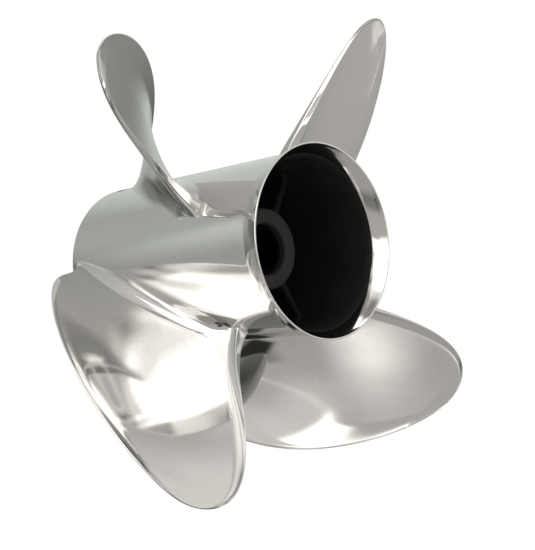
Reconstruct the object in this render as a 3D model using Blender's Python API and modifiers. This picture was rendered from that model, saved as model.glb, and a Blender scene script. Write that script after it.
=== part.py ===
# Four-blade through-hub-exhaust boat propeller, right-hand rotation.
# Metres. The shaft runs along Y: +Y points forward to the boat, -Y aft, +Z up.
# The origin is on the shaft axis, in the forward face of the splined sleeve.

import math

import bmesh
import bpy
import numpy as np
from mathutils import Vector

# Sizes that drive the whole casting
RADIUS = 0.1785
RING_RADIUS = 0.060
RING_Y = -0.166
BARREL_FRONT_Y = 0.0105
BARREL_FRONT_RADIUS = 0.0538
BARREL_AFT_RADIUS = 0.056
BARREL_WALL = 0.003
RIM_ROUND = 0.001
GAP = 0.0003

# Diffuser ring: the flared last stretch of the barrel
FLARE_LENGTH = 0.014
FLARE_START_Y = RING_Y + FLARE_LENGTH
FLARE_HOLLOW = 1.6
FLARE_HOLLOW_INSIDE = 1.4
RING_LIP = 0.0012

# Inner hub, seen from astern as a grey ring around a dark hole
HUB_RADIUS = 0.0258
HUB_BORE_RADIUS = 0.0225
HUB_AFT_HOLE_RADIUS = 0.0162
HUB_AFT_Y = RING_Y + 0.0487
HUB_FRONT_Y = -0.003
HUB_SHOULDER = 0.009
HUB_CHAMFER = 0.0012

# Ribs that carry the inner hub inside the barrel
RIB_COUNT = 3
RIB_ANGLE = -141.6
RIB_THICKNESS = 0.005
RIB_SETBACK = 0.004

# Drive: rubber bushing pressed round a splined sleeve
SLEEVE_RADIUS = 0.0152
SLEEVE_AFT_Y = HUB_AFT_Y + 0.004
SPLINE_TEETH = 15
SPLINE_MAJOR_RADIUS = 0.0134
SPLINE_MINOR_RADIUS = 0.0122
SPLINE_ROOT_END = 0.45
SPLINE_CREST = (0.6, 0.85)
BUSHING_FRONT_Y = -0.005
BUSHING_RIDGES = 4
BUSHING_RIDGE_DEPTH = 0.0012
BUSHING_RIDGE_START = 0.12
BUSHING_RIDGE_END = 0.82
BUSHING_GROOVE_START = 0.94

# Vent holes near the leading edge of each blade
VENT_RADIUS = 0.0045
VENT_Y = -0.0005
VENT_ANGLE = 20.9

# Blade, given at five radii from the barrel to the tip
BLADE_COUNT = 4
STATIONS = (0.0, 0.25, 0.5, 0.75, 1.0)
MID_ANGLE = (37.9, 41.7, 44.7, 52.5, 60.2)
MID_Y = (-0.0509, -0.0692, -0.0881, -0.1135, -0.1393)
CHORD = (0.130, 0.136, 0.149, 0.136, 0.102)
PITCH = (0.605, 0.573, 0.568, 0.587, 0.624)
THICKNESS = (0.0096, 0.0070, 0.0052, 0.0038, 0.0027)
EDGE_THICKNESS = (0.0070, 0.0045, 0.0031, 0.0023, 0.0017)
EDGE_FALL = 1.5
TIP_POWER = 4.2
LEAD_EDGE_THICKNESS = 0.0016
LEAD_ROUND = 0.03
TIP_ROUND = 0.1
THICKEST_AT = 0.6
NARROW_CHORD = 0.06
ROOT_HEEL = 0.0033
ROOT_HEEL_SPAN = 0.15
CUP_HEIGHT = 0.0042
CUP_SPAN = 0.06
CUP_AT_TIP = 0.35
FACE_SHARE = 0.64
FILLET_RADIUS = 0.0095
FILLET_AT_LEAD = 0.35
FILLET_FULL_AT = 0.35

# How finely the curves are cut
TURN_STEPS = 64
SLEEVE_SIDES = 48
VENT_SIDES = 16
SMOOTH_BELOW_DEGREES = 35
CHORD_STEPS = 13
CHORD_EVENNESS = 0.7
CUP_STEPS = 2
FILLET_ROWS = (0.0, 0.05, 0.2, 0.5, 1.0)
SPAN_ROWS = 13
SPAN_EVENNESS = 0.45
CAP_STEPS = 6
TIP_END = 0.998


def cleared_scene():
    for old in list(bpy.data.objects):
        bpy.data.objects.remove(old, do_unlink=True)
    parts = bpy.data.collections.new("boat_propeller")
    cutters = bpy.data.collections.new("cutters")
    bpy.context.scene.collection.children.link(parts)
    bpy.context.scene.collection.children.link(cutters)
    return parts, cutters


def material(name, colour, roughness, metallic):
    made = bpy.data.materials.new(name)
    made.use_nodes = True
    shader = made.node_tree.nodes["Principled BSDF"]
    shader.inputs["Base Color"].default_value = (*colour, 1.0)
    shader.inputs["Roughness"].default_value = roughness
    shader.inputs["Metallic"].default_value = metallic
    return made


def add(collection, name, mesh, finish):
    """Links a mesh object, with smooth faces and sharp edges kept."""
    obj = bpy.data.objects.new(name, mesh)
    collection.objects.link(obj)
    mesh.materials.append(finish)
    mesh.shade_smooth()
    mesh.set_sharp_from_angle(angle=math.radians(SMOOTH_BELOW_DEGREES))
    return obj


def barrel_radius(y):
    """Outer radius of the barrel, which tapers a little towards the front."""
    share = (y - BARREL_FRONT_Y) / (FLARE_START_Y - BARREL_FRONT_Y)
    return BARREL_FRONT_RADIUS + share * (BARREL_AFT_RADIUS - BARREL_FRONT_RADIUS)


def on_shaft(radius, angle, y):
    """A point at an angle in radians from +Z towards -X."""
    return Vector((-radius * math.sin(angle), y, radius * math.cos(angle)))


def turned(collection, name, profile, finish):
    """Turns a closed outline of (radius, y) points, given forward end first, about the shaft."""
    mesh = bpy.data.meshes.new(name)
    points = [(radius, 0.0, y) for radius, y in profile]
    count = len(points)
    mesh.from_pydata(points, [(i, (i + 1) % count) for i in range(count)], [])
    obj = add(collection, name, mesh, finish)
    obj.rotation_euler = (-math.pi / 2, 0.0, 0.0)
    screw = obj.modifiers.new("turn", "SCREW")
    screw.axis = "Z"
    screw.angle = 2 * math.pi
    screw.steps = TURN_STEPS
    screw.render_steps = TURN_STEPS
    screw.use_merge_vertices = True
    screw.merge_threshold = 0.00001
    screw.use_smooth_shade = True
    return obj


def build_barrel(collection, cutters, finish):
    front = BARREL_FRONT_Y
    aft = FLARE_START_Y + GAP
    outer_front = barrel_radius(front)
    outer_aft = barrel_radius(aft)
    profile = [
        (outer_front - RIM_ROUND, front),
        (outer_front - 0.3 * RIM_ROUND, front - 0.3 * RIM_ROUND),
        (barrel_radius(front - RIM_ROUND), front - RIM_ROUND),
        (outer_aft, aft),
        (outer_aft - BARREL_WALL, aft),
        (outer_front - BARREL_WALL, front - RIM_ROUND),
        (outer_front - BARREL_WALL + 0.4 * RIM_ROUND, front),
    ]
    barrel = turned(collection, "barrel", profile, finish)
    for index in range(BLADE_COUNT):
        angle = math.radians(VENT_ANGLE) + index * 2 * math.pi / BLADE_COUNT
        centre = on_shaft(BARREL_FRONT_RADIUS, angle, VENT_Y)
        bpy.ops.mesh.primitive_cylinder_add(vertices=VENT_SIDES, radius=VENT_RADIUS, depth=4 * BARREL_WALL)
        cutter = bpy.context.object
        cutter.name = f"vent_cutter_{index + 1}"
        for used in list(cutter.users_collection):
            used.objects.unlink(cutter)
        cutters.objects.link(cutter)
        outward = Vector((centre.x, 0.0, centre.z))
        cutter.rotation_euler = outward.to_track_quat("Z", "Y").to_euler()
        cutter.location = centre
        cutter.hide_render = True
        cutter.display_type = "WIRE"
        cut = barrel.modifiers.new(f"vent_{index + 1}", "BOOLEAN")
        cut.operation = "DIFFERENCE"
        cut.object = cutter


def build_ring(collection, finish):
    """The flare: outside it leaves the barrel in a hollow curve, and its lip is rounded."""
    start = FLARE_START_Y
    outer_start = barrel_radius(start)
    rise = RING_RADIUS - outer_start
    outside = [
        (outer_start + rise * share**FLARE_HOLLOW, start - share * (FLARE_LENGTH - 0.5 * RING_LIP))
        for share in (0.0, 0.2, 0.4, 0.6, 0.8, 1.0)
    ]
    lip = [
        (RING_RADIUS - 0.2 * RING_LIP, RING_Y + 0.15 * RING_LIP),
        (RING_RADIUS - 0.5 * RING_LIP, RING_Y),
        (RING_RADIUS - RING_LIP, RING_Y + 0.2 * RING_LIP),
    ]
    inner_start = outer_start - BARREL_WALL
    fall = RING_RADIUS - RING_LIP - inner_start
    inside = [
        (inner_start + fall * share**FLARE_HOLLOW_INSIDE, start - share * (FLARE_LENGTH - 0.4 * RING_LIP))
        for share in (0.85, 0.65, 0.4, 0.15, 0.0)
    ]
    turned(collection, "diffuser_ring", outside + lip + inside, finish)


def build_inner_hub(collection, finish):
    profile = [
        (HUB_BORE_RADIUS + HUB_CHAMFER, HUB_FRONT_Y),
        (HUB_RADIUS - HUB_CHAMFER, HUB_FRONT_Y),
        (HUB_RADIUS, HUB_FRONT_Y - HUB_CHAMFER),
        (HUB_RADIUS, HUB_AFT_Y + HUB_CHAMFER),
        (HUB_RADIUS - HUB_CHAMFER, HUB_AFT_Y),
        (HUB_AFT_HOLE_RADIUS + HUB_CHAMFER, HUB_AFT_Y),
        (HUB_AFT_HOLE_RADIUS, HUB_AFT_Y + HUB_CHAMFER),
        (HUB_AFT_HOLE_RADIUS, HUB_AFT_Y + HUB_SHOULDER),
        (HUB_BORE_RADIUS, HUB_AFT_Y + HUB_SHOULDER),
        (HUB_BORE_RADIUS, HUB_FRONT_Y - HUB_CHAMFER),
    ]
    turned(collection, "inner_hub", profile, finish)


def build_bushing(collection, finish):
    """The rubber bushing, with shallow grooves round its outside."""
    outer = HUB_BORE_RADIUS - GAP
    inner = SLEEVE_RADIUS + GAP
    aft = HUB_AFT_Y + HUB_SHOULDER + GAP
    length = BUSHING_FRONT_Y - aft
    profile = [(outer - BUSHING_RIDGE_DEPTH, BUSHING_FRONT_Y)]
    for index in range(BUSHING_RIDGES):
        top = BUSHING_FRONT_Y - length * index / BUSHING_RIDGES
        pitch = length / BUSHING_RIDGES
        profile.append((outer, top - BUSHING_RIDGE_START * pitch))
        profile.append((outer, top - BUSHING_RIDGE_END * pitch))
        profile.append((outer - BUSHING_RIDGE_DEPTH, top - BUSHING_GROOVE_START * pitch))
    profile.append((outer - BUSHING_RIDGE_DEPTH, aft))
    profile.append((inner, aft))
    profile.append((inner, BUSHING_FRONT_Y))
    turned(collection, "drive_bushing", profile, finish)


def build_sleeve(collection, finish):
    """The splined sleeve, from an outline with a toothed hole."""
    curve = bpy.data.curves.new("drive_sleeve", "CURVE")
    curve.dimensions = "2D"
    curve.fill_mode = "BOTH"
    length = -SLEEVE_AFT_Y
    curve.extrude = length / 2
    rings = [[(SLEEVE_RADIUS, 2 * math.pi * i / SLEEVE_SIDES) for i in range(SLEEVE_SIDES)]]
    tooth = 2 * math.pi / SPLINE_TEETH
    hole = []
    for index in range(SPLINE_TEETH):
        for radius, share in (
            (SPLINE_MAJOR_RADIUS, 0.0),
            (SPLINE_MAJOR_RADIUS, SPLINE_ROOT_END),
            (SPLINE_MINOR_RADIUS, SPLINE_CREST[0]),
            (SPLINE_MINOR_RADIUS, SPLINE_CREST[1]),
        ):
            hole.append((radius, tooth * (index + share)))
    rings.append(hole)
    for ring in rings:
        spline = curve.splines.new("POLY")
        spline.points.add(len(ring) - 1)
        spline.use_cyclic_u = True
        for point, (radius, angle) in zip(spline.points, ring):
            point.co = (radius * math.cos(angle), radius * math.sin(angle), 0.0, 1.0)
    flat = bpy.data.objects.new("sleeve_outline", curve)
    collection.objects.link(flat)
    bpy.context.view_layer.update()
    graph = bpy.context.evaluated_depsgraph_get()
    mesh = bpy.data.meshes.new_from_object(flat.evaluated_get(graph))
    bpy.data.objects.remove(flat, do_unlink=True)
    shape = bmesh.new()
    shape.from_mesh(mesh)
    bmesh.ops.remove_doubles(shape, verts=shape.verts, dist=0.00001)
    bmesh.ops.recalc_face_normals(shape, faces=shape.faces)
    shape.to_mesh(mesh)
    shape.free()
    mesh.materials.clear()
    sleeve = add(collection, "drive_sleeve", mesh, finish)
    sleeve.rotation_euler = (-math.pi / 2, 0.0, 0.0)
    sleeve.location = (0.0, -length / 2, 0.0)


def build_ribs(collection, finish):
    """Flat webs that run along the shaft between the inner hub and the barrel."""
    front = HUB_FRONT_Y - RIB_SETBACK
    aft = HUB_AFT_Y + HUB_CHAMFER
    half = RIB_THICKNESS / 2
    inner = HUB_RADIUS + GAP
    for index in range(RIB_COUNT):
        shape = bmesh.new()
        rows = []
        for y in (front, aft):
            outer = barrel_radius(y) - BARREL_WALL - GAP
            row = []
            for side in (-half, 0.0, half):
                row.append(shape.verts.new((side, y, inner)))
            for side in (half, 0.0, -half):
                row.append(shape.verts.new((side, y, math.sqrt(outer**2 - side**2))))
            rows.append(row)
        for i in range(len(rows[0])):
            j = (i + 1) % len(rows[0])
            shape.faces.new((rows[0][i], rows[0][j], rows[1][j], rows[1][i]))
        shape.faces.new(rows[0])
        shape.faces.new(rows[1])
        bmesh.ops.recalc_face_normals(shape, faces=shape.faces)
        mesh = bpy.data.meshes.new(f"rib_{index + 1}")
        shape.to_mesh(mesh)
        shape.free()
        rib = add(collection, f"rib_{index + 1}", mesh, finish)
        turn = math.radians(RIB_ANGLE) + index * 2 * math.pi / RIB_COUNT
        rib.rotation_euler = (0.0, -turn, 0.0)


def along_span(values, share):
    """A smooth curve through a blade dimension's five stations."""
    return float(np.polyval(np.polyfit(STATIONS, values, len(STATIONS) - 1), share))


def chord_shares():
    """Places along the chord, closer at the leading edge and in the cup."""
    flat_steps = CHORD_STEPS - CUP_STEPS
    eased = [1.0 - math.cos(0.5 * math.pi * i / flat_steps) for i in range(flat_steps + 1)]
    shares = []
    for i, u in enumerate(eased):
        even = i / flat_steps
        shares.append((1.0 - CUP_SPAN) * (u + CHORD_EVENNESS * (even - u)))
    return shares + [1.0 - CUP_SPAN * (1.0 - (i + 1) / CUP_STEPS) for i in range(CUP_STEPS)]


def section_thickness(u, thick, edge, narrow):
    """Thickness at a place along the chord; near the tip the section is all edge."""
    if u < THICKEST_AT:
        rise = math.sin(0.5 * math.pi * u / THICKEST_AT)
        body = LEAD_EDGE_THICKNESS + (thick - LEAD_EDGE_THICKNESS) * rise
    else:
        body = thick - (thick - edge) * ((u - THICKEST_AT) / (1.0 - THICKEST_AT)) ** EDGE_FALL
    body *= math.sqrt(min(1.0, u / LEAD_ROUND))
    return narrow * body + (1.0 - narrow) * edge * math.sqrt(min(1.0, u / TIP_ROUND))


def section_outline(share, offset):
    """Points (along the chord, towards the aft face) round one section, leading edge first."""
    chord = along_span(CHORD, share) * math.sqrt(max(0.0, 1.0 - share**TIP_POWER))
    thick = along_span(THICKNESS, share)
    edge = along_span(EDGE_THICKNESS, share)
    heel = ROOT_HEEL * max(0.0, 1.0 - share / ROOT_HEEL_SPAN) ** 2
    narrow = min(1.0, chord / NARROW_CHORD)
    cup_height = narrow * CUP_HEIGHT * (1.0 - (1.0 - CUP_AT_TIP) * share)
    back, face = [], []
    for u in chord_shares():
        s = (u - 0.5) * chord + heel * u**3
        body = section_thickness(u, thick, edge, narrow)
        cup = cup_height * max(0.0, (u - 1.0 + CUP_SPAN) / CUP_SPAN) ** 2
        back.append((s, cup - (1.0 - FACE_SHARE) * body))
        face.append((s, cup + FACE_SHARE * body))
    outline = back + face[:0:-1]
    return widened(outline, chord, offset) if offset > 0.0 else outline


def widened(outline, chord, offset):
    """The outline moved outwards by the fillet, which is narrower at the leading edge."""
    moved = []
    for index, (s, n) in enumerate(outline):
        before = outline[index - 1]
        after = outline[(index + 1) % len(outline)]
        along = Vector((after[0] - before[0], after[1] - before[1])).normalized()
        u = min(1.0, max(0.0, s / chord + 0.5))
        reach = offset * (FILLET_AT_LEAD + (1.0 - FILLET_AT_LEAD) * min(1.0, u / FILLET_FULL_AT))
        moved.append((s + reach * along.y, n - reach * along.x))
    return moved


def blade_point(share, s, n, turn):
    """Wraps a section point round the shaft at its radius, on the pitch helix."""
    radius = BARREL_AFT_RADIUS + share * (RADIUS - BARREL_AFT_RADIUS)
    helix = math.atan2(along_span(PITCH, share), 2 * math.pi * radius)
    y = along_span(MID_Y, share) - s * math.sin(helix) - n * math.cos(helix)
    angle = math.radians(along_span(MID_ANGLE, share)) + turn
    angle += (s * math.cos(helix) - n * math.sin(helix)) / radius
    foot = barrel_radius(y) + GAP
    return on_shaft(foot + share * (RADIUS - foot), angle, y)


def blade_rows():
    """(share of the span, fillet offset) from the foot to the tip."""
    span = RADIUS - BARREL_AFT_RADIUS
    rows = []
    for part in FILLET_ROWS:
        offset = FILLET_RADIUS * (1.0 - math.sqrt(1.0 - (1.0 - part) ** 2))
        rows.append((part * FILLET_RADIUS / span, offset))
    first = rows[-1][0]
    for step in range(1, SPAN_ROWS + 1):
        even = step / SPAN_ROWS
        eased = math.sin(0.5 * math.pi * even)
        mixed = eased + SPAN_EVENNESS * (even - eased)
        rows.append((first + (TIP_END - first) * mixed, 0.0))
    return rows


def add_foot(shape, loop, outline, turn):
    """The foot follows the barrel, so it is a grid between the two faces of the blade."""
    count = len(loop)
    across = []
    for i in range(1, CHORD_STEPS + 1):
        back, face = outline[i], outline[count - i]
        line = [loop[i]]
        for k in range(1, CAP_STEPS):
            t = k / CAP_STEPS
            s = back[0] + (face[0] - back[0]) * t
            n = back[1] + (face[1] - back[1]) * t
            line.append(shape.verts.new(blade_point(0.0, s, n, turn)))
        line.append(loop[count - i])
        across.append(line)
    for k in range(CAP_STEPS):
        shape.faces.new((loop[0], across[0][k], across[0][k + 1]))
        for i in range(CHORD_STEPS - 1):
            shape.faces.new((across[i][k], across[i + 1][k], across[i + 1][k + 1], across[i][k + 1]))
    return across[-1]


def build_blade(collection, index, finish):
    turn = index * 2 * math.pi / BLADE_COUNT
    rows = blade_rows()
    outlines = [section_outline(share, offset) for share, offset in rows]
    shape = bmesh.new()
    loops = []
    for (share, _), outline in zip(rows, outlines):
        loops.append([shape.verts.new(blade_point(share, s, n, turn)) for s, n in outline])
    count = len(loops[0])
    foot_end = add_foot(shape, loops[0], outlines[0], turn)
    for low, high in zip(loops, loops[1:]):
        for i in range(count):
            j = (i + 1) % count
            if low is loops[0] and i == CHORD_STEPS:
                shape.faces.new((*foot_end, high[j], high[i]))
            else:
                shape.faces.new((low[i], low[j], high[j], high[i]))
    tip = loops[-1]
    shape.faces.new((tip[0], tip[1], tip[count - 1]))
    for i in range(1, CHORD_STEPS):
        shape.faces.new((tip[i], tip[i + 1], tip[count - i - 1], tip[count - i]))
    bmesh.ops.triangulate(shape, faces=shape.faces)
    bmesh.ops.recalc_face_normals(shape, faces=shape.faces)
    mesh = bpy.data.meshes.new(f"blade_{index + 1}")
    shape.to_mesh(mesh)
    shape.free()
    add(collection, f"blade_{index + 1}", mesh, finish)


def main():
    parts, cutters = cleared_scene()
    polished = material("polished_stainless", (0.62, 0.62, 0.60), 0.12, 1.0)
    blackened = material("blackened_casting", (0.035, 0.034, 0.033), 0.6, 0.0)
    rubber = material("bushing_rubber", (0.02, 0.02, 0.02), 0.8, 0.0)
    bronze = material("sleeve_metal", (0.45, 0.33, 0.2), 0.35, 1.0)
    build_barrel(parts, cutters, polished)
    build_ring(parts, polished)
    build_inner_hub(parts, blackened)
    build_ribs(parts, blackened)
    build_bushing(parts, rubber)
    build_sleeve(parts, bronze)
    for index in range(BLADE_COUNT):
        build_blade(parts, index, polished)


main()
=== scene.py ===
# A four-blade boat propeller in polished stainless, with its exhaust led out through the hub.
# Metres. The shaft runs along Y, +Y forward, and the camera looks at it from astern and to port.
import math

import bmesh
import bpy
import numpy as np
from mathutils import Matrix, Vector


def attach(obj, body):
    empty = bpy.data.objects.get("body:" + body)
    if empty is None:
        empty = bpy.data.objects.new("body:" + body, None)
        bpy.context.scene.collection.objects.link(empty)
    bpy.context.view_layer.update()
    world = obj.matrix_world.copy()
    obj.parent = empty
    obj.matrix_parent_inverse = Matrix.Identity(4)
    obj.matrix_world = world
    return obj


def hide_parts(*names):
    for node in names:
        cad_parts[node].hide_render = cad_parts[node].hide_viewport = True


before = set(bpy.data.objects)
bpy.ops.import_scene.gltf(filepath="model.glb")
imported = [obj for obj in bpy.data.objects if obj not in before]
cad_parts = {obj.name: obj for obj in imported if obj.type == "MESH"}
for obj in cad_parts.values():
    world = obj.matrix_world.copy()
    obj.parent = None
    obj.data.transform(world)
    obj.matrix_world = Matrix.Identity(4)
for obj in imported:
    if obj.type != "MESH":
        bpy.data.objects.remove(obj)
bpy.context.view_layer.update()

print("frame loaded:", len(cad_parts), "nodes")


# small helpers


def onShaft(radius, angle, y):
    # angle in radians, from straight up towards port
    return (-radius * math.sin(angle), y, radius * math.cos(angle))


def meshObject(name, points, faces, material):
    mesh = bpy.data.meshes.new(name)
    mesh.from_pydata([tuple(p) for p in points], [], faces)
    mesh.update()
    mesh.materials.append(material)
    mesh.shade_smooth()
    piece = bpy.data.objects.new(name, mesh)
    bpy.context.scene.collection.objects.link(piece)
    return piece


def lathe(name, profile, turns, material):
    # a closed outline of (radius, y) points, turned about the shaft
    points = []
    for k in range(turns):
        angle = 2 * math.pi * k / turns
        for radius, y in profile:
            points.append(onShaft(radius, angle, y))
    rows = len(profile)
    faces = []
    for k in range(turns):
        after = (k + 1) % turns
        for i in range(rows):
            j = (i + 1) % rows
            faces.append((k * rows + i, k * rows + j, after * rows + j, after * rows + i))
    piece = meshObject(name, points, faces, material)
    tidyNormals(piece)
    return piece


def tidyNormals(piece):
    shape = bmesh.new()
    shape.from_mesh(piece.data)
    bmesh.ops.recalc_face_normals(shape, faces=shape.faces)
    shape.to_mesh(piece.data)
    shape.free()


def arc(centre, radius, start, end, steps):
    # (radius, y) points round a corner; 0 degrees points away from the shaft and 90 aft
    points = []
    for k in range(steps + 1):
        angle = math.radians(start + (end - start) * k / steps)
        points.append((centre[0] + radius * math.cos(angle), centre[1] - radius * math.sin(angle)))
    return points


def keepSharp(piece, degrees):
    piece.data.set_sharp_from_angle(angle=math.radians(degrees))


def cutWith(piece, cutter):
    cut = piece.modifiers.new("cut", "BOOLEAN")
    cut.operation = "DIFFERENCE"
    # the cut faces take the cutter's black: painted shade in the vents
    cut.material_mode = "TRANSFER"
    cut.object = cutter
    graph = bpy.context.evaluated_depsgraph_get()
    made = bpy.data.meshes.new_from_object(piece.evaluated_get(graph))
    piece.modifiers.clear()
    piece.data = made


def dress(piece, slot, *nodes):
    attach(piece, "root")
    if nodes:
        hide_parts(*nodes)
    return piece


# materials

class NodeSheet:
    # a thin wrapper that keeps the material recipes short
    def __init__(self, name):
        self.material = bpy.data.materials.new(name)
        self.material.use_nodes = True
        self.tree = self.material.node_tree
        self.shader = self.tree.nodes["Principled BSDF"]

    def add(self, kind, **values):
        node = self.tree.nodes.new(kind)
        for key, value in values.items():
            if hasattr(node, key):
                setattr(node, key, value)
            else:
                node.inputs[key].default_value = value
        return node

    def link(self, source, target):
        self.tree.links.new(source, target)

    def place(self, stretch=(1.0, 1.0, 1.0)):
        spot = self.add("ShaderNodeTexCoord")
        mapping = self.add("ShaderNodeMapping")
        mapping.inputs["Scale"].default_value = stretch
        self.link(spot.outputs["Object"], mapping.inputs["Vector"])
        return mapping.outputs["Vector"]

    def noise(self, scale, detail=2.0, rough=0.5, stretch=(1.0, 1.0, 1.0)):
        node = self.add("ShaderNodeTexNoise")
        node.inputs["Scale"].default_value = scale
        node.inputs["Detail"].default_value = detail
        node.inputs["Roughness"].default_value = rough
        self.link(self.place(stretch), node.inputs["Vector"])
        return node.outputs["Fac"]

    def spread(self, source, low, high, fromLow=0.3, fromHigh=0.7):
        node = self.add("ShaderNodeMapRange")
        node.inputs["From Min"].default_value = fromLow
        node.inputs["From Max"].default_value = fromHigh
        node.inputs["To Min"].default_value = low
        node.inputs["To Max"].default_value = high
        self.link(source, node.inputs["Value"])
        return node.outputs["Result"]

    def sum(self, first, second, operation="ADD"):
        node = self.add("ShaderNodeMath", operation=operation)
        self.link(first, node.inputs[0])
        if isinstance(second, float):
            node.inputs[1].default_value = second
        else:
            self.link(second, node.inputs[1])
        return node.outputs[0]

    def blend(self, factor, first, second):
        # first and second are colours, or sockets that carry one
        node = self.add("ShaderNodeMix", data_type="RGBA")
        for socket, colour in ((node.inputs[6], first), (node.inputs[7], second)):
            if isinstance(colour, tuple):
                socket.default_value = (*colour, 1.0)
            else:
                self.link(colour, socket)
        self.link(factor, node.inputs["Factor"])
        return node.outputs[2]

    def bump(self, height, distance, strength=1.0, under=None):
        node = self.add("ShaderNodeBump")
        node.inputs["Distance"].default_value = distance
        node.inputs["Strength"].default_value = strength
        self.link(height, node.inputs["Height"])
        if under is not None:
            self.link(under, node.inputs["Normal"])
        return node.outputs["Normal"]


polish = {
    "colour": (0.67, 0.665, 0.655),
    "hazeColour": (0.64, 0.636, 0.626),
    "roughness": (0.05, 0.085),
    "smudge": 0.03,
    "hazeScale": 14.0,
    "fineScale": 260.0,
    "smudgeScale": 55.0,
    "waviness": 0.000005,
    "waveScale": 28.0,
    "scratch": 0.0000015,
    "scratchScale": 900.0,
}


def polishedSteel():
    sheet = NodeSheet("polishedSteel")
    haze = sheet.noise(polish["hazeScale"], detail=4.0, rough=0.6)
    fine = sheet.noise(polish["fineScale"], detail=3.0, rough=0.6)
    smudge = sheet.noise(polish["smudgeScale"], detail=5.0, rough=0.7, stretch=(1.0, 0.45, 1.0))
    roughness = sheet.spread(haze, *polish["roughness"])
    roughness = sheet.sum(roughness, sheet.spread(smudge, 0.0, polish["smudge"], fromLow=0.5, fromHigh=0.75))
    sheet.link(roughness, sheet.shader.inputs["Roughness"])
    sheet.link(sheet.blend(sheet.spread(fine, 0.0, 1.0), polish["colour"], polish["hazeColour"]),
               sheet.shader.inputs["Base Color"])
    sheet.shader.inputs["Metallic"].default_value = 1.0
    wavy = sheet.bump(sheet.noise(polish["waveScale"], detail=1.0, rough=0.4), polish["waviness"])
    scratches = sheet.noise(polish["scratchScale"], detail=2.0, rough=0.6, stretch=(1.0, 0.06, 1.0))
    sheet.link(sheet.bump(scratches, polish["scratch"], under=wavy), sheet.shader.inputs["Normal"])
    return sheet.material


paint = {
    "colour": (0.0045, 0.0045, 0.0045),
    "dusty": (0.008, 0.0078, 0.0075),
    # the inner hub's greyer copy of this paint: painted light for its aft face, which faces the lit stern
    "litCastColour": (0.024, 0.022, 0.021),
    "litCastDusty": (0.04, 0.038, 0.036),
    "roughness": (0.6, 0.8),
    "shine": 0.2,
    "cloudScale": 38.0,
    "castScale": 210.0,
    "castDepth": 0.0002,
    "grainScale": 1300.0,
    "grainDepth": 0.00003,
}


def blackPaint(name, colour, dusty):
    sheet = NodeSheet(name)
    sheet.shader.inputs["Specular IOR Level"].default_value = paint["shine"]
    cloud = sheet.noise(paint["cloudScale"], detail=5.0, rough=0.65)
    grain = sheet.noise(paint["grainScale"])
    sheet.link(sheet.blend(sheet.spread(cloud, 0.0, 1.0), colour, dusty), sheet.shader.inputs["Base Color"])
    sheet.link(sheet.spread(cloud, *paint["roughness"]), sheet.shader.inputs["Roughness"])
    cast = sheet.noise(paint["castScale"], detail=4.0, rough=0.6)
    rough = sheet.bump(cast, paint["castDepth"], strength=0.6)
    sheet.link(sheet.bump(grain, paint["grainDepth"], under=rough), sheet.shader.inputs["Normal"])
    return sheet.material


rubber = {
    "colour": (0.018, 0.018, 0.019),
    "bloom": (0.035, 0.035, 0.036),
    "roughness": (0.62, 0.85),
    "bloomScale": 70.0,
    "grainScale": 1500.0,
    "grainDepth": 0.00004,
}


def bushingRubber():
    sheet = NodeSheet("bushingRubber")
    bloom = sheet.noise(rubber["bloomScale"], detail=4.0, rough=0.6)
    sheet.link(sheet.blend(sheet.spread(bloom, 0.0, 1.0), rubber["colour"], rubber["bloom"]),
               sheet.shader.inputs["Base Color"])
    sheet.link(sheet.spread(bloom, *rubber["roughness"]), sheet.shader.inputs["Roughness"])
    grain = sheet.noise(rubber["grainScale"])
    sheet.link(sheet.bump(grain, rubber["grainDepth"]), sheet.shader.inputs["Normal"])
    return sheet.material


bronze = {
    "colour": (0.46, 0.31, 0.17),
    "tarnish": (0.22, 0.13, 0.07),
    # painted shade: the dark colour the sleeve takes towards its aft end, deep in the hole
    "aftShade": (0.007, 0.005, 0.0045),
    "aftShadeFrom": -0.03,
    "aftShadeFull": -0.09,
    "roughness": (0.3, 0.55),
    "aftShadeRoughness": 0.35,
    "tarnishScale": 90.0,
    "markScale": 1600.0,
    "markDepth": 0.00003,
}


def machinedBronze():
    # bright at the front end and darkened towards the aft end: painted shade for the deep hole it sits in
    sheet = NodeSheet("machinedBronze")
    tarnish = sheet.noise(bronze["tarnishScale"], detail=5.0, rough=0.65)
    along = sheet.add("ShaderNodeSeparateXYZ")
    sheet.link(sheet.place(), along.inputs["Vector"])
    # painted shade: the colour darkens towards the aft end, where the sleeve sits deep in the hole
    aftShade = sheet.spread(along.outputs["Y"], 0.0, 1.0, bronze["aftShadeFrom"], bronze["aftShadeFull"])
    dull = sheet.spread(tarnish, 0.0, 1.0, fromLow=0.45, fromHigh=0.75)
    clean = sheet.blend(dull, bronze["colour"], bronze["tarnish"])
    sheet.link(sheet.blend(aftShade, clean, bronze["aftShade"]), sheet.shader.inputs["Base Color"])
    roughness = sheet.spread(tarnish, *bronze["roughness"])
    sheet.link(sheet.sum(roughness, sheet.sum(aftShade, bronze["aftShadeRoughness"], "MULTIPLY")),
               sheet.shader.inputs["Roughness"])
    sheet.shader.inputs["Metallic"].default_value = 1.0
    # turning marks run round the shaft, so the pattern changes only along it
    marks = sheet.noise(bronze["markScale"], stretch=(0.02, 1.0, 0.02))
    sheet.link(sheet.bump(marks, bronze["markDepth"], strength=0.7), sheet.shader.inputs["Normal"])
    return sheet.material


steel = polishedSteel()
boreBlack = blackPaint("boreBlack", paint["colour"], paint["dusty"])
# the inner hub's paint, a greyer copy lightened as painted light for its lit aft face
litCastBlack = blackPaint("litCastBlack", paint["litCastColour"], paint["litCastDusty"])
rubberBlack = bushingRubber()
sleeveBronze = machinedBronze()
print("materials made")


# barrel: one turned shell from the front rim to the flared aft ring

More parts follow.
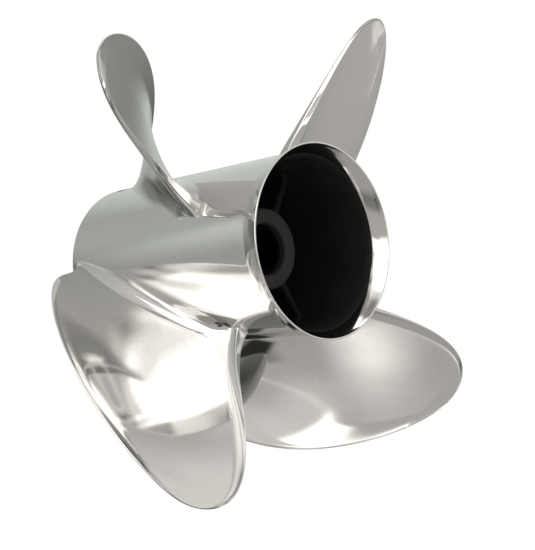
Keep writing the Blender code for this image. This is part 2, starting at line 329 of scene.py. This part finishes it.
barrel = {
    "frontY": 0.0105,
    "frontRadius": 0.0538,
    "aftRadius": 0.056,
    "wall": 0.003,
    "rimRound": 0.0011,
    "flareStartY": -0.152,
    "ringY": -0.166,
    "ringRadius": 0.060,
    "lip": 0.0012,
    "flareHollow": 1.6,
    "flareHollowInside": 1.4,
    "lipTurn": (-18, 160),  # degrees round the lip, from outside to inside
    "turns": 256,
    "rows": 64,
    "flareRows": 20,
    "lipSteps": 12,
    "rimSteps": 5,
    "paintStartY": -0.1565,
    "paintThickness": 0.00015,
    "paintTaper": 0.002,
    "paintThinnest": 0.2,
    "paintRows": 24,
    "flarePaintRows": 6,
    "sharpAngle": 40,
}


def barrelRadius(y):
    share = (y - barrel["frontY"]) / (barrel["flareStartY"] - barrel["frontY"])
    return barrel["frontRadius"] + share * (barrel["aftRadius"] - barrel["frontRadius"])


def flareShare(y):
    length = barrel["flareStartY"] - barrel["ringY"] - barrel["lip"] / 2
    return min(1.0, max(0.0, (barrel["flareStartY"] - y) / length))


def outsideRadius(y):
    start = barrelRadius(barrel["flareStartY"])
    if y >= barrel["flareStartY"]:
        return barrelRadius(y)
    return start + (barrel["ringRadius"] - start) * flareShare(y) ** barrel["flareHollow"]


def insideRadius(y):
    start = barrelRadius(barrel["flareStartY"]) - barrel["wall"]
    if y >= barrel["flareStartY"]:
        return barrelRadius(y) - barrel["wall"]
    rise = barrel["ringRadius"] - barrel["lip"] - start
    return start + rise * flareShare(y) ** barrel["flareHollowInside"]


def between(start, end, steps):
    return [start + (end - start) * k / steps for k in range(steps + 1)]


def makeBarrel():
    rim, lip, half = barrel["rimRound"], barrel["lip"] / 2, barrel["wall"] / 2
    front, flareStart, flareEnd = barrel["frontY"] - rim, barrel["flareStartY"], barrel["ringY"] + lip
    outside = [(outsideRadius(y), y) for y in between(front, flareStart, barrel["rows"])]
    outside += [(outsideRadius(y), y) for y in between(flareStart, flareEnd, barrel["flareRows"])[1:-1]]
    lipCurve = arc((barrel["ringRadius"] - lip, flareEnd), lip, *barrel["lipTurn"], barrel["lipSteps"])
    inside = [(insideRadius(y), y) for y in between(flareEnd, flareStart, barrel["flareRows"])[1:-1]]
    inside += [(insideRadius(y), y) for y in between(flareStart, front, barrel["rows"] // 2)]
    middle = outsideRadius(front) - half
    rimCurve = arc((middle - (half - rim), front), rim, 180, 270, barrel["rimSteps"])[1:]
    rimCurve += arc((middle + (half - rim), front), rim, 270, 360, barrel["rimSteps"])[:-1]
    return lathe("barrelShell", outside + lipCurve + inside + rimCurve, barrel["turns"], steel)


def makeBorePaint():
    # the black coating inside, a thin skin that stops short of the polished lip
    start, flareStart = barrel["paintStartY"], barrel["flareStartY"]
    front = barrel["frontY"] - 2 * barrel["rimRound"]
    thick, thinnest = barrel["paintThickness"], barrel["paintThinnest"]
    places = between(start, flareStart, barrel["flarePaintRows"])
    places += between(flareStart, front, barrel["paintRows"])[1:]
    skin = []
    for y in places:
        share = min(1.0, thinnest + (y - start) / barrel["paintTaper"])
        skin.append((insideRadius(y) - thick * share, y))
    backing = [(insideRadius(y) + thick, y) for y in reversed(places)]
    return lathe("borePaint", skin + backing, barrel["turns"], boreBlack)


vents = {"radius": 0.0045, "y": -0.0005, "angle": 20.9, "count": 4, "chamfer": 0.0006, "sides": 64,
         "cutterReach": 0.01}


def ventCutter(index):
    angle = math.radians(vents["angle"]) + index * 2 * math.pi / vents["count"]
    surface = barrelRadius(vents["y"])
    straight, chamfer = vents["radius"], vents["chamfer"]
    flare = straight + 2 * chamfer
    rings = [(straight, surface - 4 * barrel["wall"]), (straight, surface - chamfer)]
    rings += [(straight + 0.3 * chamfer, surface - 0.3 * chamfer)]
    rings += [(flare, surface + chamfer), (flare, surface + vents["cutterReach"])]
    outward = Vector(onShaft(1.0, angle, 0.0))
    side = Vector((0.0, 1.0, 0.0))
    across = outward.cross(side)
    shape = bmesh.new()
    loops = []
    for radius, height in rings:
        loop = []
        for k in range(vents["sides"]):
            turn = 2 * math.pi * k / vents["sides"]
            offset = side * math.cos(turn) + across * math.sin(turn)
            loop.append(shape.verts.new(outward * height + offset * radius + Vector((0.0, vents["y"], 0.0))))
        loops.append(loop)
    for low, high in zip(loops, loops[1:]):
        for k in range(vents["sides"]):
            j = (k + 1) % vents["sides"]
            shape.faces.new((low[k], low[j], high[j], high[k]))
    shape.faces.new(loops[0])
    shape.faces.new(loops[-1])
    bmesh.ops.recalc_face_normals(shape, faces=shape.faces)
    mesh = bpy.data.meshes.new("ventCutter")
    shape.to_mesh(mesh)
    shape.free()
    # the cut hands this black on to the vent walls and outer chamfers: painted shade that keeps the vents
    # dark
    mesh.materials.append(boreBlack)
    cutter = bpy.data.objects.new("ventCutter", mesh)
    bpy.context.scene.collection.objects.link(cutter)
    return cutter


barrelShell = makeBarrel()
borePaint = makeBorePaint()
for index in range(vents["count"]):
    cutter = ventCutter(index)
    cutWith(barrelShell, cutter)
    cutWith(borePaint, cutter)
    bpy.data.objects.remove(cutter, do_unlink=True)
keepSharp(barrelShell, barrel["sharpAngle"])
dress(barrelShell, "polished_steel", "barrel", "diffuser_ring")
dress(borePaint, "blackened_casting")
print("barrel turned and vented")


# blades: lofted sections on a pitch helix, with a cupped trailing edge and a filleted root

blade = {
    "count": 4,
    "radius": 0.1785,
    "stations": (0.0, 0.25, 0.5, 0.75, 1.0),  # shares of the span, for the six rows below
    "midAngle": (37.9, 41.7, 44.7, 52.5, 60.2),  # degrees, of the middle of the chord
    "midY": (-0.0509, -0.0692, -0.0881, -0.1135, -0.1393),
    "chord": (0.130, 0.136, 0.149, 0.136, 0.102),
    "pitch": (0.605, 0.573, 0.568, 0.587, 0.624),  # metres forward in one turn
    "thickness": (0.0096, 0.0070, 0.0052, 0.0038, 0.0027),
    "edgeThickness": (0.0070, 0.0045, 0.0031, 0.0023, 0.0017),
    "edgeFall": 1.5,  # how late the thickness falls to the trailing edge
    "tipPower": 4.2,  # higher is squarer at the tip
    "leadEdge": 0.0016,
    "leadRound": 0.03,
    "tipRound": 0.1,
    "thickestAt": 0.6,
    "narrowChord": 0.06,  # below this the section flattens out
    "heel": 0.006,
    "heelSpan": 0.3,
    "cupHeight": 0.0042,
    "cupSpan": 0.06,
    "cupAtTip": 0.35,
    "leadCurl": 0.0016,
    "leadCurlSpan": 0.3,
    "leadCurlRise": 3.0,
    "endSlant": 0.32,
    "slantSpan": 0.5,
    "faceShare": 0.64,  # of the thickness, on the aft face
    "fillet": 0.0095,
    "filletAtLead": 0.35,
    "filletAtTrail": 0.1,
    "filletTrailSpan": 0.12,
    "edgeRound": 0.0007,
    "noseSteps": 14,
    "flatSteps": 46,
    "cupSteps": 14,
    "endSteps": 27,
    "filletRows": 16,
    "spanRows": 100,
    "tipEnd": 0.9994,
    "rowEase": 0.8,
    "noseSpan": 0.045,
    "rootSink": 0.00001,  # into the barrel, so that no gap shows
    "sharpAngle": 60,
}


def alongSpan(name):
    values = blade[name]
    return np.poly1d(np.polyfit(blade["stations"], values, len(values) - 1))


spanCurve = {name: alongSpan(name)
             for name in ("midAngle", "midY", "chord", "pitch", "thickness", "edgeThickness")}


def chordShares():
    # the nose is crowded at the leading edge, and the cup gets its own even steps
    nose = [blade["noseSpan"] * (k / blade["noseSteps"]) ** 2 for k in range(blade["noseSteps"])]
    flat = between(blade["noseSpan"], 1.0 - blade["cupSpan"], blade["flatSteps"])[:-1]
    cup = between(1.0 - blade["cupSpan"], 1.0, blade["cupSteps"])
    return np.array(nose + flat + cup)


def sectionOutline(share, offset):
    # (along the chord, towards the aft face) points round one section, leading edge first
    chord = spanCurve["chord"](share) * math.sqrt(max(0.0, 1.0 - share ** blade["tipPower"]))
    thick, edge = spanCurve["thickness"](share), spanCurve["edgeThickness"](share)
    narrow = min(1.0, chord / blade["narrowChord"])
    # the rounded end takes the last bit of the chord
    u = chordShares() * (1.0 - blade["edgeRound"] / chord)
    s = (u - 0.5) * chord + blade["heel"] * max(0.0, 1.0 - share / blade["heelSpan"]) ** 2 * u ** 3
    lead, peak = blade["leadEdge"], blade["thickestAt"]
    rising = lead + (thick - lead) * np.sin(0.5 * math.pi * np.minimum(u, peak) / peak)
    falling = thick - (thick - edge) * (np.maximum(u - peak, 0.0) / (1.0 - peak)) ** blade["edgeFall"]
    body = np.where(u < peak, rising, falling) * np.sqrt(np.minimum(1.0, u / blade["leadRound"]))
    body = narrow * body + (1.0 - narrow) * edge * np.sqrt(np.minimum(1.0, u / blade["tipRound"]))
    cupHeight = narrow * blade["cupHeight"] * (1.0 - (1.0 - blade["cupAtTip"]) * share)
    cup = cupHeight * np.maximum(0.0, (u - 1.0 + blade["cupSpan"]) / blade["cupSpan"]) ** 2
    curl = narrow * blade["leadCurl"] * min(1.0, blade["leadCurlRise"] * share)
    cup += curl * np.maximum(0.0, (blade["leadCurlSpan"] - u) / blade["leadCurlSpan"]) ** 2
    # towards the root the blunt trailing end turns to face aft
    slant = blade["endSlant"] * edge * max(0.0, 1.0 - share / blade["slantSpan"])
    slant = slant * np.clip((u - 1.0 + 2 * blade["cupSpan"]) / (2 * blade["cupSpan"]), 0.0, 1.0) ** 2
    back = np.column_stack((s + slant, cup - (1.0 - blade["faceShare"]) * body))
    face = np.column_stack((s - slant, cup + blade["faceShare"] * body))
    outline = np.vstack((back, roundedEnd(back, face), face[:0:-1]))
    if offset > 0.0:
        outline = widened(outline, chord, offset)
    return outline


def roundedEnd(back, face):
    # a blunt trailing edge with eased corners
    centre, half = (back[-1] + face[-1]) / 2, (face[-1] - back[-1]) / 2
    along = (back[-1] - back[-2]) + (face[-1] - face[-2])
    along /= np.linalg.norm(along)
    # the points are spaced by the direction they face, so the fillet round the corners stays smooth
    facing = np.linspace(-0.5 * math.pi, 0.5 * math.pi, blade["endSteps"] + 1)[1:-1]
    turns = np.sign(facing) * np.arctan(np.abs(np.tan(facing)) ** (2 / 3))
    across = np.sign(np.sin(turns)) * np.abs(np.sin(turns)) ** 0.5
    out = np.cos(turns) ** 0.5
    return centre + np.outer(across, half) + np.outer(out * blade["edgeRound"], along)


def widened(outline, chord, offset):
    # the outline moved outwards by the fillet, which is narrower at both edges
    along = np.roll(outline, -1, axis=0) - np.roll(outline, 1, axis=0)
    along /= np.linalg.norm(along, axis=1)[:, None]
    u = np.clip(outline[:, 0] / chord + 0.5, 0.0, 1.0)
    lead, trail = blade["filletAtLead"], blade["filletAtTrail"]
    reach = lead + (1.0 - lead) * np.minimum(1.0, u / lead)
    late = np.clip((u - 1.0 + blade["filletTrailSpan"]) / blade["filletTrailSpan"], 0.0, 1.0)
    reach = offset * reach * (1.0 - (1.0 - trail) * late * late * (3.0 - 2.0 * late))
    return outline + np.column_stack((along[:, 1], -along[:, 0])) * reach[:, None]


def wrapped(share, outline, turn):
    # lays a flat section round the shaft at its radius, on the pitch helix
    radius = barrel["aftRadius"] + share * (blade["radius"] - barrel["aftRadius"])
    helix = math.atan2(spanCurve["pitch"](share), 2 * math.pi * radius)
    s, n = outline[:, 0], outline[:, 1]
    y = spanCurve["midY"](share) - s * math.sin(helix) - n * math.cos(helix)
    angle = math.radians(spanCurve["midAngle"](share)) + turn
    angle = angle + (s * math.cos(helix) - n * math.sin(helix)) / radius
    foot = barrelRadius(y) - blade["rootSink"]
    reach = foot + share * (blade["radius"] - foot)
    return np.column_stack((-reach * np.sin(angle), y, reach * np.cos(angle)))


def bladeRows():
    span = blade["radius"] - barrel["aftRadius"]
    rows = []
    for k in range(blade["filletRows"] + 1):
        turn = 0.5 * math.pi * k / blade["filletRows"]
        height = blade["fillet"] * (1.0 - math.cos(turn))
        rows.append((height / span, blade["fillet"] * (1.0 - math.sin(turn))))
    # above the fillet the rows crowd towards the tip
    first, ease = rows[-1][0], blade["rowEase"]
    for k in range(1, blade["spanRows"] + 1):
        even = k / blade["spanRows"]
        eased = ease * math.sin(0.5 * math.pi * even) + (1.0 - ease) * even ** 2 * (3 - 2 * even)
        rows.append((first + (blade["tipEnd"] - first) * eased, 0.0))
    return rows


def makeBlade(index):
    turn = index * 2 * math.pi / blade["count"]
    loops = [wrapped(share, sectionOutline(share, offset), turn) for share, offset in bladeRows()]
    count = len(loops[0])
    faces = []
    for row in range(len(loops) - 1):
        for i in range(count):
            j = (i + 1) % count
            faces.append((row * count + i, row * count + j, (row + 1) * count + j, (row + 1) * count + i))
    # both ends are closed with strips across the section
    half = count // 2
    for start in (0, (len(loops) - 1) * count):
        faces.append((start, start + 1, start + count - 1))
        for i in range(1, half):
            faces.append((start + i, start + i + 1, start + count - i - 1, start + count - i))
    piece = meshObject(f"blade{index + 1}", np.vstack(loops), faces, steel)
    tidyNormals(piece)
    keepSharp(piece, blade["sharpAngle"])
    return dress(piece, "polished_steel", f"blade_{index + 1}")


for index in range(blade["count"]):
    makeBlade(index)
print("blades lofted")


# inner hub, its ribs, and the drive inside it

hub = {
    "radius": 0.0258,
    "boreRadius": 0.0225,
    "aftHoleRadius": 0.0162,
    "aftY": -0.1173,
    "frontY": -0.003,
    "shoulder": 0.009,
    "chamfer": 0.0012,
    "cornerRound": 0.0006,
    "turns": 160,
    "sharpAngle": 50,
}


def easedCorners(profile, radius, steps=4):
    # rounds each corner of a closed (radius, y) outline
    made = []
    count = len(profile)
    for i in range(count):
        before, here, after = (Vector(profile[(i + k) % count]) for k in (-1, 0, 1))
        inward, outward = before - here, after - here
        reach = min(radius, 0.4 * inward.length, 0.4 * outward.length)
        start, end = here + inward.normalized() * reach, here + outward.normalized() * reach
        for k in range(steps + 1):
            t = k / steps
            made.append(tuple(start * (1 - t) ** 2 + here * 2 * t * (1 - t) + end * t ** 2))
    return made


def makeInnerHub():
    bore, hole, outer, cut = hub["boreRadius"], hub["aftHoleRadius"], hub["radius"], hub["chamfer"]
    front, aft = hub["frontY"], hub["aftY"]
    profile = [
        (bore + cut, front),
        (outer - cut, front),
        (outer, front - cut),
        (outer, aft + cut),
        (outer - cut, aft),
        (hole + cut, aft),
        (hole, aft + cut),
        (hole, aft + hub["shoulder"]),
        (bore, aft + hub["shoulder"]),
        (bore, front - cut),
    ]
    outline = easedCorners(profile, hub["cornerRound"])
    piece = lathe("innerHub", outline, hub["turns"], litCastBlack)
    keepSharp(piece, hub["sharpAngle"])
    return dress(piece, "blackened_casting", "inner_hub")


ribs = {
    "count": 3,
    "angle": -141.6,
    "thickness": 0.005,
    "setback": 0.004,
    "fillet": 0.004,
    "edgeRound": 0.0022,
    "edgeLeast": 0.04,
    "sinkInHub": 0.0003,
    "sinkInPaint": 0.0002,
    "lengthSteps": 60,
    "heightSteps": 26,
}


def ribHalfWidth(height, span):
    # half the thickness, spreading into a fillet at the hub and at the barrel
    width = ribs["thickness"] / 2
    for gap in (height, span - height):
        left = max(0.0, 1.0 - gap / ribs["fillet"])
        width += ribs["fillet"] * (1.0 - math.sqrt(max(0.0, 1.0 - left ** 2)))
    return width


def makeRib(index):
    turn = math.radians(ribs["angle"]) + index * 2 * math.pi / ribs["count"]
    front, aft = hub["frontY"] - ribs["setback"], hub["aftY"] + hub["chamfer"]
    points, loops = [], []
    steps = ribs["heightSteps"]
    for k in range(ribs["lengthSteps"] + 1):
        t = k / ribs["lengthSteps"]
        eased = 0.5 - 0.5 * math.cos(math.pi * t)
        y = front + (aft - front) * eased
        fromEnd = min(front - y, y - aft)
        left = max(0.0, 1.0 - fromEnd / ribs["edgeRound"])
        narrow = math.sqrt(max(0.0, 1.0 - left ** 2))
        inner = hub["radius"] - ribs["sinkInHub"]
        outer = insideRadius(y) - barrel["paintThickness"] + ribs["sinkInPaint"]
        side = []
        for i in range(steps + 1):
            share = 0.5 - 0.5 * math.cos(math.pi * i / steps)
            height = share * (outer - inner)
            width = ribHalfWidth(height, outer - inner) * max(ribs["edgeLeast"], narrow)
            side.append((width, inner + height))
        loop = []
        for width, radius in side + [(-width, radius) for width, radius in reversed(side)]:
            loop.append(len(points))
            points.append(onShaft(radius, turn + width / radius, y))
        loops.append(loop)
    faces = []
    for low, high in zip(loops, loops[1:]):
        for i in range(len(low)):
            j = (i + 1) % len(low)
            faces.append((low[i], low[j], high[j], high[i]))
    for loop in (loops[0], loops[-1]):
        last = len(loop) - 1
        for i in range(steps):
            faces.append((loop[i], loop[i + 1], loop[last - i - 1], loop[last - i]))
    piece = meshObject(f"rib{index + 1}", points, faces, boreBlack)
    tidyNormals(piece)
    return dress(piece, "blackened_casting", f"rib_{index + 1}")


bushing = {
    "frontY": -0.005,
    "ridges": 4,
    "ridgeDepth": 0.0012,
    "ridgeStart": 0.12,
    "ridgeEnd": 0.82,
    "grooveStart": 0.94,
    "clearance": 0.0001,
    "mouth": (0.0012, 0.0002),  # how far its funnel widens, and how far behind the front face
    "cornerRound": 0.0008,
    "turns": 128,
    "sharpAngle": 50,
}
sleeve = {
    "radius": 0.0152,
    "aftY": -0.1133,
    "teeth": 15,
    "rootRadius": 0.0134,
    "crestRadius": 0.0122,
    "crestShare": 0.16,
    "flankShare": 0.12,
    "chamfer": 0.0007,
    "pointsPerTooth": 16,
    "boreRows": 10,
    "sharpAngle": 30,
}


def makeBushing():
    outer, inner = hub["boreRadius"] - bushing["clearance"], sleeve["radius"] + bushing["clearance"]
    aft = hub["aftY"] + hub["shoulder"] + bushing["clearance"]
    front = bushing["frontY"]
    pitch = (front - aft) / bushing["ridges"]
    low = outer - bushing["ridgeDepth"]
    profile = [(low, front)]
    for k in range(bushing["ridges"]):
        top = front - k * pitch
        profile += [(outer, top - bushing["ridgeStart"] * pitch), (outer, top - bushing["ridgeEnd"] * pitch)]
        profile += [(low, top - bushing["grooveStart"] * pitch)]
    mouth, step = bushing["mouth"]
    profile += [(low, aft), (inner, aft), (inner, front - mouth), (inner + mouth, front - step)]
    outline = easedCorners(profile, bushing["cornerRound"])
    piece = lathe("driveBushing", outline, bushing["turns"], rubberBlack)
    keepSharp(piece, bushing["sharpAngle"])
    return dress(piece, "bushing_rubber", "drive_bushing")


def toothRadius(angle):
    # straight-flanked spline teeth with eased corners
    place = (angle * sleeve["teeth"] / (2 * math.pi)) % 1.0
    crest = min(1.0, max(0.0, (abs(place - 0.5) - sleeve["crestShare"]) / sleeve["flankShare"]))
    crest = crest * crest * (3 - 2 * crest)
    return sleeve["crestRadius"] + crest * (sleeve["rootRadius"] - sleeve["crestRadius"])


def makeSleeve():
    # rings of points: down the outside, then back up the splined bore
    count = sleeve["teeth"] * sleeve["pointsPerTooth"]
    cut, outer, aft = sleeve["chamfer"], sleeve["radius"], sleeve["aftY"]
    rings = [("bore", cut, 0.0), ("rim", outer - cut, 0.0), ("rim", outer, -cut), ("rim", outer, aft + cut),
             ("rim", outer - cut, aft), ("bore", cut, aft), ("bore", 0.0, aft + cut)]
    rings += [("bore", 0.0, y) for y in between(aft + 4 * cut, -4 * cut, sleeve["boreRows"])]
    rings += [("bore", 0.0, -cut)]
    points = []
    for kind, size, y in rings:
        for k in range(count):
            angle = 2 * math.pi * k / count
            radius = size if kind == "rim" else toothRadius(angle) + size
            points.append(onShaft(radius, angle, y))
    faces = []
    for row in range(len(rings)):
        after = (row + 1) % len(rings)
        for k in range(count):
            j = (k + 1) % count
            faces.append((row * count + k, row * count + j, after * count + j, after * count + k))
    piece = meshObject("driveSleeve", points, faces, sleeveBronze)
    tidyNormals(piece)
    keepSharp(piece, sleeve["sharpAngle"])
    return dress(piece, "sleeve_metal", "drive_sleeve")


makeInnerHub()
for index in range(ribs["count"]):
    makeRib(index)
makeBushing()
makeSleeve()
print("inner hub, ribs and drive made")


# studio: pale floor, and a plain sky of light with soft boxes in it

studio = {
    "floorZ": -0.5,
    "floorSize": 40.0,
    "floorColour": (0.06, 0.06, 0.06),
    "floorGlow": (0.97, 0.97, 0.965),
    "floorMottle": (0.955, 0.955, 0.95),
    "mottleScale": 0.9,
    "skyBase": 0.56,
    "skyAbove": 0.31,
    "skyBelow": -0.09,
    "skyAhead": -0.35,
    "skyTop": -0.11,
    "skyLeast": 0.03,
    "aboveRange": (-0.15, 0.35),
    "belowRange": (-0.9, -0.2),
    "aheadRange": (-0.2, 1.0),
    "topRange": (0.35, 1.0),
    "tintRange": (0.1, 0.6),
    "warmAstern": (1.028, 1.0, 0.955, 1.0),
    "coolAhead": (0.955, 1.0, 0.94, 1.0),
    "backdrop": (1.0, 1.0, 1.0, 1.0),
}

# each aims at (azimuth, elevation), with azimuth 0 aft and 90 to starboard; angles are in degrees
# the light is added to the sky's own, and a flag takes some away
softBoxes = {
    "portBox": {"aim": (-70, 24), "size": (52, 30), "soft": 11, "roll": -69, "light": 2.2},
    "portFlag": {"aim": (-82, 38), "size": (20, 12), "soft": 10, "roll": -32, "light": -1.2},
    "portHighFlag": {"aim": (-78, 48), "size": (17, 14), "soft": 12, "roll": 14, "light": -0.45},
    "sternBox": {"aim": (-25.3, -5), "size": (6.5, 23), "soft": 2.5, "roll": 5, "light": 1.5},
    "lowBox": {"aim": (-20, -36), "size": (11, 23), "soft": 13, "roll": 5, "light": 0.8},
    "tableGlow": {"aim": (-33, -8), "size": (17, 26), "soft": 14, "roll": 0, "light": 0.24},
    "tableEdge": {"aim": (-38, -16.5), "size": (34, 2), "soft": 1.5, "roll": 0, "light": 0.15},
    "bowStrip": {"aim": (118, -8), "size": (4, 33), "soft": 1.5, "roll": 49, "light": 0.85},
    "bowFlag": {"aim": (122, 3), "size": (27, 43), "soft": 4, "roll": 54, "light": -0.4},
    "bowHighBox": {"aim": (157, 40), "size": (55, 16), "soft": 14, "roll": 32, "light": 0.22},
    "frontFlag": {"aim": (176, 15), "size": (34, 24), "soft": 14, "roll": 20, "light": -0.25},
    "floorFlag": {"aim": (-103, -59), "size": (95, 17), "soft": 11, "roll": 20, "light": -0.23},
    "highBox": {"aim": (-55, 55), "size": (14, 40), "soft": 13, "roll": -88, "light": 0.8},
    "topFlag": {"aim": (-68, 70), "size": (5, 40), "soft": 10, "roll": 0, "light": -0.6},
    "portStrip": {"aim": (-109, -33), "size": (26, 5), "soft": 3, "roll": 34, "light": 1.5},
    "portLow": {"aim": (-95, -4), "size": (36, 15), "soft": 3, "roll": 24, "light": 1.2},
    "rearEdge": {"aim": (-139, -2), "size": (8, 48), "soft": 6, "roll": -5, "light": 0.23},
    "edgeStrip": {"aim": (79.5, -12), "size": (1.5, 7), "soft": 1.5, "roll": 0, "light": 0.5},
    "heelGlow": {"aim": (-36, 30), "size": (30, 6), "soft": 5, "roll": 0, "light": 0.6},
    "heelBox": {"aim": (40, 4), "size": (22, 30), "soft": 8, "roll": 0, "light": 0.5},
    "skyBox": {"aim": (30, 49), "size": (20, 9), "soft": 5, "roll": 0, "light": 0.12},
    "zenithFlag": {"aim": (22, 62), "size": (46, 14), "soft": 5, "roll": 0, "light": -0.2},
    "zenithBox": {"aim": (-4, 70), "size": (22, 22), "soft": 14, "roll": 0, "light": 0.35},
    "gapFlag": {"aim": (-59, -36), "size": (9, 22), "soft": 4, "roll": 10, "light": -0.42},
    "sternLow": {"aim": (16, -45), "size": (16, 36), "soft": 14, "roll": 39, "light": 0.8},
}


def makeFloor():
    # the floor glows by itself, so that it looks as white as the backdrop
    sheet = NodeSheet("floorPale")
    mottling = sheet.spread(sheet.noise(studio["mottleScale"], detail=3.0), 0.0, 1.0)
    glow = sheet.blend(mottling, studio["floorGlow"], studio["floorMottle"])
    sheet.link(glow, sheet.shader.inputs["Emission Color"])
    sheet.shader.inputs["Emission Strength"].default_value = 1.0
    sheet.shader.inputs["Base Color"].default_value = (*studio["floorColour"], 1.0)
    sheet.shader.inputs["Roughness"].default_value = 0.9
    sheet.shader.inputs["Specular IOR Level"].default_value = 0.0
    half = studio["floorSize"] / 2
    z = studio["floorZ"]
    square = [(-half, -half, z), (half, -half, z), (half, half, z), (-half, half, z)]
    floor = meshObject("studioFloor", square, [(0, 1, 2, 3)], sheet.material)
    floor.visible_glossy = False


class SkySheet:
    # adds up soft-edged patches of light by direction
    def __init__(self, world):
        world.use_nodes = True
        self.tree = world.node_tree
        self.background = self.tree.nodes["Background"]
        self.direction = self.tree.nodes.new("ShaderNodeTexCoord").outputs["Generated"]

    def math(self, operation, first, second=None):
        node = self.tree.nodes.new("ShaderNodeMath")
        node.operation = operation
        for socket, value in zip(node.inputs, (first, second)):
            if isinstance(value, (int, float)):
                socket.default_value = value
            elif value is not None:
                self.tree.links.new(value, socket)
        return node.outputs[0]

    def dot(self, axis):
        node = self.tree.nodes.new("ShaderNodeVectorMath")
        node.operation = "DOT_PRODUCT"
        self.tree.links.new(self.direction, node.inputs[0])
        node.inputs[1].default_value = axis
        return node.outputs["Value"]

    def ramp(self, value, low, high, toLow=0.0, toHigh=1.0):
        node = self.tree.nodes.new("ShaderNodeMapRange")
        node.interpolation_type = "SMOOTHSTEP"
        for name, number in (("From Min", low), ("From Max", high), ("To Min", toLow), ("To Max", toHigh)):
            node.inputs[name].default_value = number
        self.tree.links.new(value, node.inputs["Value"])
        return node.outputs["Result"]

    def mix(self, factor, first, second):
        node = self.tree.nodes.new("ShaderNodeMix")
        node.data_type = "RGBA"
        for key, value in (("Factor", factor), (6, first), (7, second)):
            socket = node.inputs[key]
            if isinstance(value, tuple):
                socket.default_value = value
            else:
                self.tree.links.new(value, socket)
        return node.outputs[2]

    def patch(self, box):
        a, e, r = (math.radians(value) for value in (*box["aim"], box["roll"]))
        centre = Vector((math.sin(a) * math.cos(e), -math.cos(a) * math.cos(e), math.sin(e)))
        level = Vector((math.cos(a), math.sin(a), 0.0))
        upright = level.cross(centre) * -1
        if upright.z < 0:
            upright *= -1
        right = level * math.cos(r) + upright * math.sin(r)
        up = upright * math.cos(r) - level * math.sin(r)
        ahead = self.math("MAXIMUM", self.dot(centre), 0.001)
        soft = math.tan(math.radians(box["soft"])) / 2
        shades = []
        for axis, size, most in zip((right, up), box["size"], (box["light"], 1.0)):
            away = self.math("ABSOLUTE", self.math("DIVIDE", self.dot(axis), ahead))
            half = math.tan(math.radians(size) / 2)
            shades.append(self.ramp(away, half - soft, half + soft, most, 0.0))
        return self.math("MULTIPLY", *shades)


def makeSky():
    world = bpy.data.worlds.new("studioSky")
    bpy.context.scene.world = world
    sky = SkySheet(world)
    height, ahead = sky.dot((0.0, 0.0, 1.0)), sky.dot((0.0, 1.0, 0.0))
    total = sky.ramp(height, *studio["aboveRange"], studio["skyBase"], studio["skyBase"] + studio["skyAbove"])
    total = sky.math("ADD", total, sky.ramp(height, *studio["belowRange"], studio["skyBelow"], 0.0))
    total = sky.math("ADD", total, sky.ramp(height, *studio["topRange"], 0.0, studio["skyTop"]))
    total = sky.math("ADD", total, sky.ramp(ahead, *studio["aheadRange"], 0.0, studio["skyAhead"]))
    for box in softBoxes.values():
        total = sky.math("ADD", total, sky.patch(box))
    total = sky.math("MAXIMUM", total, studio["skyLeast"])
    tint = sky.mix(sky.ramp(ahead, *studio["tintRange"]), studio["warmAstern"], studio["coolAhead"])
    # the camera sees a plain backdrop, and the metal reflects the soft boxes
    seen = sky.tree.nodes.new("ShaderNodeLightPath").outputs["Is Camera Ray"]
    sky.tree.links.new(sky.mix(seen, tint, studio["backdrop"]), sky.background.inputs["Color"])
    lit = sky.math("MULTIPLY", total, sky.math("SUBTRACT", 1.0, seen))
    sky.tree.links.new(sky.math("MAXIMUM", lit, seen), sky.background.inputs["Strength"])


camera = {"place": (-0.63847, -0.74512, -0.13294), "azimuth": -45.473, "elevation": -7.411,
          "lens": 95.0, "sensor": 36.0}


def makeCamera():
    lens = bpy.data.cameras.new("camera")
    lens.sensor_fit = "VERTICAL"
    lens.sensor_height = camera["sensor"]
    lens.lens = camera["lens"]
    eye = bpy.data.objects.new("camera", lens)
    eye.location = camera["place"]
    eye.rotation_euler = (math.radians(90 - camera["elevation"]), 0.0, math.radians(camera["azimuth"]))
    bpy.context.scene.collection.objects.link(eye)
    bpy.context.scene.camera = eye


makeFloor()
makeSky()
makeCamera()
bpy.context.scene.view_settings.view_transform = "Standard"
print("studio set")
